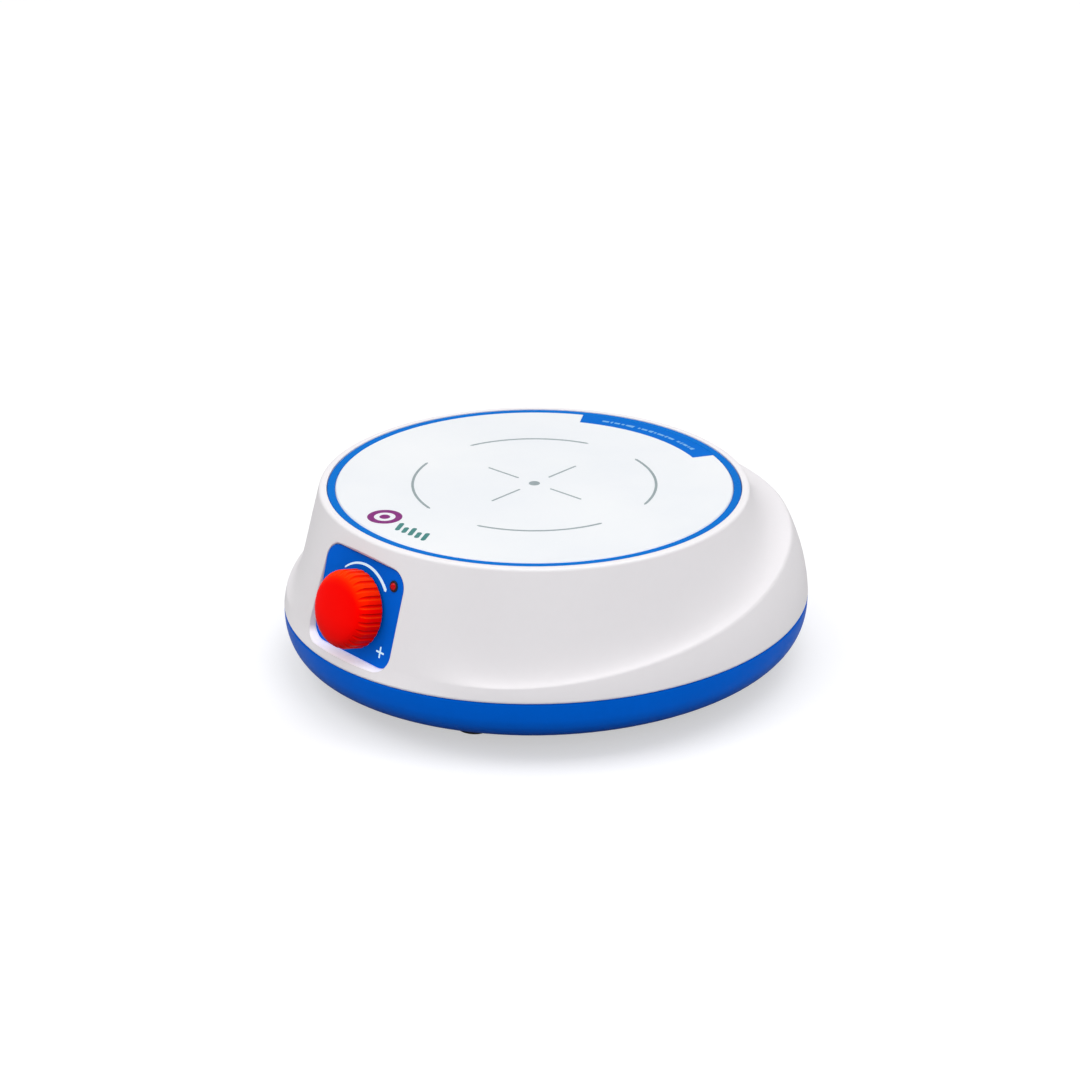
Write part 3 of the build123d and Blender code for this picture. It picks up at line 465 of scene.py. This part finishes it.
def bar(x0, y0, x1, y1, width, plane, top=INK_TOP):
    """Straight strip with round ends."""
    start = Vector((x0, y0))
    direction = Vector((x1, y1)) - start
    length = direction.length
    direction /= length
    sideways = Vector((-direction.y, direction.x))
    radius = width / 2
    stations = [i / 8 * radius for i in range(9)]
    stations += [length - (8 - i) / 8 * radius for i in range(9)]
    left, right = [], []
    for s in stations:
        half, to_end = radius, min(s, length - s)
        if to_end < radius:
            half = max(width * 0.05, math.sqrt(max(radius ** 2 - (radius - to_end) ** 2, 0)))
        middle = start + direction * s
        left.append(tuple(middle + sideways * half))
        right.append(tuple(middle - sideways * half))
    return ribbon(left, right, plane)if top == INK_TOP else ribbon(left, right, plane, top)


def disc(cx, cy, radius, plane, n=40):
    """Round dot with a slightly drawn-in top edge."""
    shoulder = INK_TOP - (INK_TOP - INK_BOTTOM) * 0.25
    rings = [(radius, INK_BOTTOM), (radius, shoulder), (radius * 0.985, INK_TOP)]
    verts = [on_plane(plane, cx + r * cos(2 * pi * i / n), cy + r * sin(2 * pi * i / n), h)
             for r, h in rings for i in range(n)]
    faces = [(k + i, k + (i + 1) % n, k + n + (i + 1) % n, k + n + i)
             for k in (0, n) for i in range(n)]
    return verts, faces + [tuple(range(n - 1, -1, -1)), tuple(range(2 * n, 3 * n))]


def ring(cx, cy, outer, inner, plane, n=64):
    circles = [[(cx + r * sin(2 * pi * i / n), cy + r * cos(2 * pi * i / n))
                for i in range(n + 1)] for r in (outer, inner)]
    verts, faces = ribbon(*circles, plane)
    return verts, faces[:-2]        # the two ends meet, so the caps go


# ---------------------------------------------------------------- plate printing
def level_plane(node):
    """The horizontal plane through the top of a piece."""
    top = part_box(node)[1].z
    return Vector((0, 0, top)), Vector((1, 0, 0)), Vector((0, 1, 0)), Vector((0, 0, 1))


PLATE = level_plane("stirring_plate")


def centring_print():
    """Centre dot, cross arms and four arcs for centring a vessel."""
    turn = 6.3                      # degrees, toward -X from +Y
    arm_start, arm_end = 6.4 * MM, 18.9 * MM
    arc_r, half_arc, arc_w = 36.8 * MM, 30, 0.8 * MM
    marks = [disc(0, 0, 1.7 * MM, PLATE)]
    for angle in (0, 90, 180, 270):
        x, y = sin(radians(angle - turn)), cos(radians(angle - turn))
        marks.append(bar(arm_start * x, arm_start * y, arm_end * x, arm_end * y,
                         0.6 * MM, PLATE))
    for angle in (45, 135, 225, 315):
        middle = angle - turn
        marks.append(arc_strip(arc_r, middle - half_arc, middle + half_arc, arc_w, arc_w,
                               PLATE))
    make_print("plate_centring_print", marks, INK_GREY)


centring_print()

# ---------------------------------------------------------------- panel printing
knob_joint = next(j for j in frame["joints"] if j["name"] == "knob_turn")
normal = -Vector(knob_joint["axis"]).normalized()
across = Vector((1, 0, 0))
along = normal.cross(across).normalized()
if along.z < 0:
    along = -along
PANEL = (Vector(knob_joint["pos_m"]), across, along, normal)

make_print("panel_speed_arc",
           [arc_strip(13.35 * MM, -42.8, 51.0, 0.45 * MM, 1.15 * MM, PLATE and PANEL)],
           INK_WHITE)

SIGN_X, SIGN_Y = 12.5 * MM, -9.4 * MM       # plus sign; the minus sign mirrors it in X
SIGN_HALF, SIGN_W = 1.75 * MM, 0.55 * MM


def sign_dash(x):
    return bar(x - SIGN_HALF, SIGN_Y, x + SIGN_HALF, SIGN_Y, SIGN_W, PANEL)


# the upright stroke stands higher, so that the two tops don't coincide
upright = bar(SIGN_X, SIGN_Y - SIGN_HALF, SIGN_X, SIGN_Y + SIGN_HALF, SIGN_W, PANEL,
              top=INK_TOP * 1.3)
make_print("panel_plus_mark", [sign_dash(SIGN_X), upright], INK_WHITE)
make_print("panel_minus_mark", [sign_dash(-SIGN_X)], INK_WHITE)

# ------------------------------------------- marks at the plate's front, and the band
RING_X, RING_Y = -9.6 * MM, -50.4 * MM
make_print("plate_ring_mark",
           [ring(RING_X, RING_Y, 5.2 * MM, 3.2 * MM, PLATE),
            disc(RING_X, RING_Y, 1.6 * MM, PLATE)], INK_PURPLE)


def bars_mark():
    """A row of slanted bars, leaning toward -X."""
    bars = []
    for i, length in enumerate((5.6, 4.2, 5.6, 4.2, 5.6)):
        x = (0.6 + 2.7 * i) * MM
        y = (-54.3 + 0.20 * i) * MM
        bars.append(bar(x, y, x - 0.53 * length * MM, y + 0.85 * length * MM, 1.45 * MM,
                        PLATE))
    make_print("plate_bars_mark", bars, INK_TEAL)


def label_dashes():
    """Plain dashes along the blue band, in three groups."""
    spans = (1.5, 0.7, 1.9, 0.7, 1.2, 2.4, 0.9, 2.6, 0.8, 1.6, 2.2, 0.7, 2.9, 1.0, 1.9,
             0.7, 2.3)              # degrees covered by each dash
    band = level_plane("plate_label_band")
    dashes = []
    angle = 12.0
    for i, span in enumerate(spans):
        start_w = (1.0 if i % 3 else 1.6) * MM
        dashes.append(arc_strip(56.5 * MM, angle, angle - span, start_w, 1.0 * MM, band,
                                steps=8, round_ends=False))
        angle -= span + (1.7 if i in (4, 11) else 0.62)
    make_print("label_dashes", dashes, INK_PALE)


bars_mark()
label_dashes()


# --------------------------------------------------------------- floor and world
def add_floor():
    half = 12.0
    me = bpy.data.meshes.new("floor")
    corners = [(-half, -half, 0), (half, -half, 0), (half, half, 0), (-half, half, 0)]
    me.from_pydata(corners, [], [(0, 1, 2, 3)])
    floor = bpy.data.objects.new("floor", me)
    floor.location.z = -0.00005
    SCENE.collection.objects.link(floor)
    g = Graph("floor_paper")
    seen = g.camera_ray()
    tone = g.fade((0.57, 0.57, 0.575, 1), (0.59, 0.59, 0.593, 1), g.noise(scale=3))
    glow = 0.5                      # toward the camera only
    me.materials.append(g.surface(
        g.mix(seen, (0.52, 0.52, 0.52, 1), tone), 0.85,
        g.bump(g.noise(scale=900, rough=0.6), strength=0.05, distance=0.00005),
        {"Specular IOR Level": 0.0, "Emission Color": (1, 1, 1, 1),
         "Emission Strength": g.times(seen, glow)}))


def add_world():
    """White surroundings, dimmer in reflections."""
    world = bpy.data.worlds.new("studio")
    SCENE.world = world
    world.use_nodes = True
    tree = world.node_tree
    background = tree.nodes["Background"]
    background.inputs[0].default_value = (1.0, 1.0, 1.0, 1)
    path = tree.nodes.new("ShaderNodeLightPath")
    dim = tree.nodes.new("ShaderNodeMapRange")
    tree.links.new(path.outputs["Is Glossy Ray"], dim.inputs["Value"])
    dim.inputs["To Min"].default_value = 0.57
    dim.inputs["To Max"].default_value = 0.2
    tree.links.new(dim.outputs[0], background.inputs[1])


add_floor()
add_world()


# ------------------------------------------------------------- lights and camera
def area(name, loc, size, power, col=(1, 1, 1)):
    """Square light aimed at the stirrer."""
    light = bpy.data.lights.new(name, "AREA")
    light.energy = power
    light.color = col
    light.shape = "RECTANGLE"
    light.size = light.size_y = size
    ob = bpy.data.objects.new(name, light)
    ob.location = loc
    toward = Vector((0, 0, 0.03)) - Vector(loc)
    ob.rotation_euler = toward.to_track_quat("-Z", "Y").to_euler()
    SCENE.collection.objects.link(ob)


area("key", loc=(-0.45, -0.75, 1.25), size=0.9, power=5.0, col=(1.0, 0.995, 0.985))
area("fill", loc=(1.3, -0.6, 0.6), size=1.0, power=4.0, col=(0.985, 0.99, 1.0))
area("top", loc=(0.1, 0.35, 1.4), size=1.2, power=8.5)


def add_camera():
    azimuth = radians(48.53)        # from -Y toward +X
    elevation = radians(22.174)
    reach, height = 0.9260960263, 0.4344        # from the Z axis, and above z = 0
    # small turn of the aim off the nominal direction, as tangents
    aim_right, aim_up = 0.001701986, -0.01710451

    pos = Vector((reach * sin(azimuth), -reach * cos(azimuth), height))
    forward = Vector((-sin(azimuth) * cos(elevation), cos(azimuth) * cos(elevation),
                      -sin(elevation)))
    right = Vector((cos(azimuth), sin(azimuth), 0))
    up = right.cross(forward)
    z = -(forward + right * aim_right + up * aim_up).normalized()
    x = up.cross(z).normalized()
    y = z.cross(x)
    data = bpy.data.cameras.new("camera")
    data.sensor_width = 36.0
    data.lens = 110.26333
    data.clip_start = 0.01
    data.clip_end = 50
    cam = bpy.data.objects.new("camera", data)
    cam.matrix_world = Matrix.Translation(pos) @ Matrix((x, y, z)).transposed().to_4x4()
    SCENE.collection.objects.link(cam)
    SCENE.camera = cam


add_camera()
SCENE.view_settings.view_transform = "Standard"
SCENE.view_settings.look = "None"
SCENE.view_settings.exposure = 0.0
